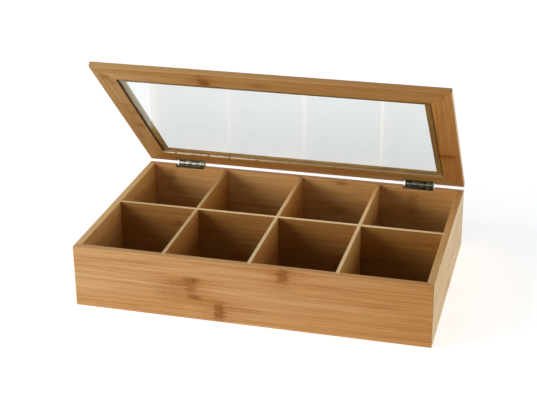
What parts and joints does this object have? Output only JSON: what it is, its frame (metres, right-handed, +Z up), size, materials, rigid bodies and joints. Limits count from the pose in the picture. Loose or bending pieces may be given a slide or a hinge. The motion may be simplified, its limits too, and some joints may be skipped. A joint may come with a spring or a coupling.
{
  "type": "tea bag organizer box",
  "caption": "Low bamboo box divided into square-cornered compartments for tea bags, with a glazed lid in a mitred bamboo frame on small butt hinges.",
  "frame": {"origin": "centre of the box's underside, on the surface that the box stands on", "axes": "+X to the right along the length, +Y to the back where the hinges are, +Z up"},
  "size_m": [0.34, 0.2227, 0.2218],
  "materials": {
    "box_bamboo": "satin clear lacquer over caramel bamboo, fine straight grain with node marks",
    "divider_bamboo": "satin bamboo, slightly darker than the walls",
    "lid_bamboo": "satin bamboo, grain along each rail and stile",
    "clear_glass": "clear float glass with a polished face",
    "clear_sealant": "glossy clear sealant bead, slightly uneven",
    "hinge_steel": "dull nickel-plated steel with darker edges",
    "screw_steel": "nickel-plated steel screws with a cross recess"
  },
  "bodies": {
    "box": {"front_wall": "box_bamboo", "back_wall": "box_bamboo", "left_wall": "box_bamboo", "right_wall": "box_bamboo", "bottom_panel": "divider_bamboo", "long_divider": "divider_bamboo", "left_cross_divider": "divider_bamboo", "middle_cross_divider": "divider_bamboo", "right_cross_divider": "divider_bamboo", "left_hinge_wall_leaf": "hinge_steel", "left_hinge_pin": "hinge_steel", "left_hinge_wall_screws": "screw_steel", "right_hinge_wall_leaf": "hinge_steel", "right_hinge_pin": "hinge_steel", "right_hinge_wall_screws": "screw_steel"},
    "lid": {"lid_front_rail": "lid_bamboo", "lid_back_rail": "lid_bamboo", "lid_left_stile": "lid_bamboo", "lid_right_stile": "lid_bamboo", "lid_glass": "clear_glass", "glass_sealant": "clear_sealant", "left_hinge_lid_leaf": "hinge_steel", "left_hinge_lid_screws": "screw_steel", "right_hinge_lid_leaf": "hinge_steel", "right_hinge_lid_screws": "screw_steel"}
  },
  "joints": [
    {"name": "lid_hinge", "type": "hinge", "parent": "box", "child": "lid", "pos_m": [0, 0.11165, 0.0621], "axis": [-1, 0, 0], "range_deg": [-45, 149.5]}
  ]
}
